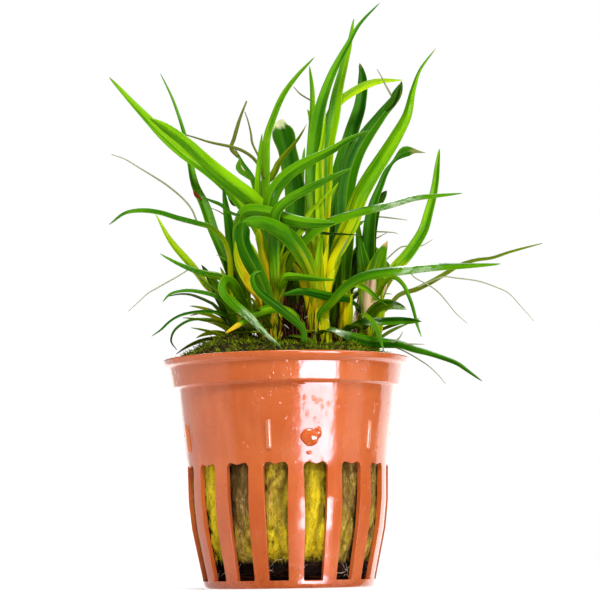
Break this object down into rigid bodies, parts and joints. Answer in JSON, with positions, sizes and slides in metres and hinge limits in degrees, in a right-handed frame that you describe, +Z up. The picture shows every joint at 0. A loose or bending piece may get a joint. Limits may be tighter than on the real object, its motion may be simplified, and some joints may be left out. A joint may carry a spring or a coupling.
{
  "type": "potted aquatic plant",
  "caption": "Grass-like pipewort tuft with arching strap leaves on short pale crowns, rooted in rockwool and moss in a slotted terracotta-coloured net pot.",
  "frame": {"origin": "centre of the pot's flat underside", "axes": "+Z up along the pot's axis, +Y away from the side that the picture shows, +X to the right in the picture"},
  "size_m": [0.0901, 0.0632, 0.1229],
  "materials": {
    "terracotta_plastic": "glossy moulded terracotta-coloured plastic",
    "rockwool": "damp fibrous mineral wool, yellow-olive with grey-tan streaks",
    "moss": "matt, dark olive moss",
    "crown": "satin, pale yellow-green to beige leaf bases",
    "leaf_bright": "satin, bright yellow-green",
    "leaf_mid": "satin, saturated mid green, wet in places",
    "leaf_dark": "satin, deep green"
  },
  "bodies": {
    "root": {"pot": "terracotta_plastic", "rockwool": "rockwool", "moss": "moss", "crown_a": "crown", "crown_b": "crown", "crown_c": "crown", "crown_d": "crown", "crown_e": "crown", "crown_f": "crown", "crown_g": "crown", "leaf_left_1": "leaf_bright", "leaf_left_2": "leaf_bright", "leaf_left_3": "leaf_mid", "leaf_left_4": "leaf_mid", "leaf_left_5": "leaf_bright", "leaf_left_6": "leaf_mid", "leaf_left_7": "leaf_mid", "leaf_left_8": "leaf_dark", "leaf_left_9": "leaf_mid", "leaf_up_1": "leaf_bright", "leaf_up_2": "leaf_bright", "leaf_up_3": "leaf_dark", "leaf_up_4": "leaf_mid", "leaf_up_5": "leaf_bright", "leaf_up_6": "leaf_bright", "leaf_up_7": "leaf_mid", "leaf_up_8": "leaf_dark", "leaf_up_9": "leaf_dark", "leaf_up_10": "leaf_bright", "leaf_right_1": "leaf_bright", "leaf_right_2": "leaf_dark", "leaf_right_3": "leaf_dark", "leaf_right_4": "leaf_mid", "leaf_right_5": "leaf_bright", "leaf_right_6": "leaf_bright", "leaf_right_7": "leaf_mid", "leaf_right_8": "leaf_mid", "leaf_right_9": "leaf_mid", "leaf_right_10": "leaf_bright", "leaf_right_11": "leaf_dark", "leaf_right_12": "leaf_mid", "leaf_right_13": "leaf_bright", "leaf_front_1": "leaf_mid", "leaf_front_2": "leaf_mid", "leaf_front_3": "leaf_bright", "leaf_front_4": "leaf_bright", "leaf_front_5": "leaf_bright", "leaf_front_6": "leaf_dark", "leaf_front_7": "leaf_mid", "leaf_front_8": "leaf_dark", "leaf_front_9": "leaf_bright", "leaf_front_10": "leaf_mid", "leaf_front_11": "leaf_mid", "leaf_back_1": "leaf_mid", "leaf_back_2": "leaf_bright", "leaf_back_3": "leaf_bright", "leaf_back_4": "leaf_mid", "leaf_back_5": "leaf_mid", "leaf_back_6": "leaf_mid", "leaf_back_7": "leaf_mid"}
  },
  "joints": []
}
